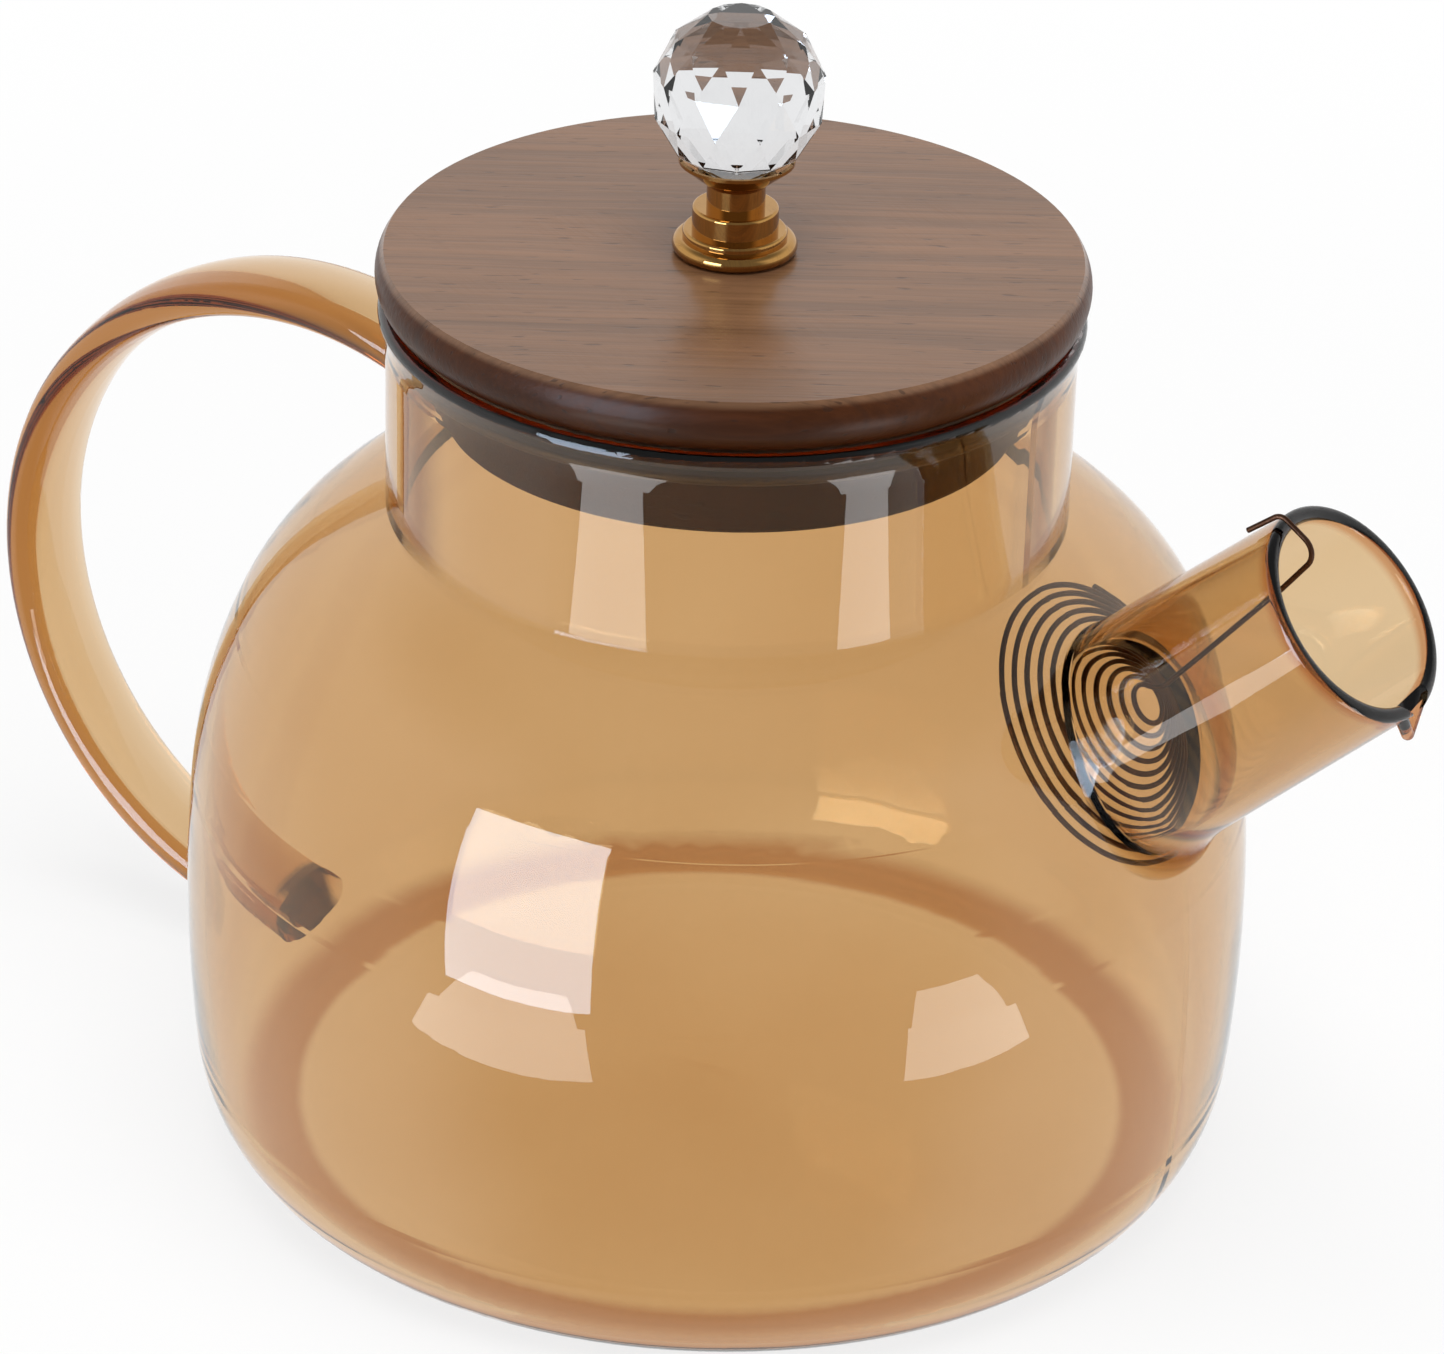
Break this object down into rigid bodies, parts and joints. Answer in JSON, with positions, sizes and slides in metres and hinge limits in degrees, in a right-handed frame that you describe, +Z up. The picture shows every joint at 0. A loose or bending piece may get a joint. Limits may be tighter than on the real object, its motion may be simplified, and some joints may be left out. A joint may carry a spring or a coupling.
{
  "type": "glass teapot",
  "caption": "Round-bellied amber glass teapot with a straight tube spout holding a wire coil strainer, a strap handle, and a lift-off wooden lid with a faceted crystal knob.",
  "frame": {"origin": "centre of the vessel's foot, on the plane it stands on", "axes": "+Z up, +X from the vessel's axis towards the spout, -X towards the handle"},
  "size_m": [0.2387, 0.1586, 0.1768],
  "materials": {
    "amber_glass": "clear amber",
    "steel_wire": "drawn wire",
    "lid_wood": "stained, matt oiled",
    "seal_rubber": "soft, smooth",
    "gold_plate": "polished plate",
    "crystal": "cut and polished"
  },
  "bodies": {
    "pot": {"glass_vessel": "amber_glass", "glass_spout": "amber_glass", "glass_handle": "amber_glass"},
    "strainer": {"spout_strainer": "steel_wire"},
    "seal": {"lid_seal": "seal_rubber"},
    "lid": {"lid_disc": "lid_wood", "lid_plug": "lid_wood", "knob_base": "gold_plate", "knob_screw": "steel_wire", "crystal_ball": "crystal"}
  },
  "joints": [
    {"name": "lid_lift", "type": "slide", "parent": "pot", "child": "seal", "axis": [0, 0, 1], "range_m": [0, 0.06]},
    {"name": "lid_turn", "type": "hinge", "parent": "seal", "child": "lid", "pos_m": [0, 0, 0.13], "axis": [0, 0, 1], "continuous": true},
    {"name": "strainer_turn", "type": "hinge", "parent": "pot", "child": "strainer", "pos_m": [0.1002, 0, 0.1121], "axis": [0.729, 0, 0.6845], "range_deg": [-2, 45]}
  ]
}
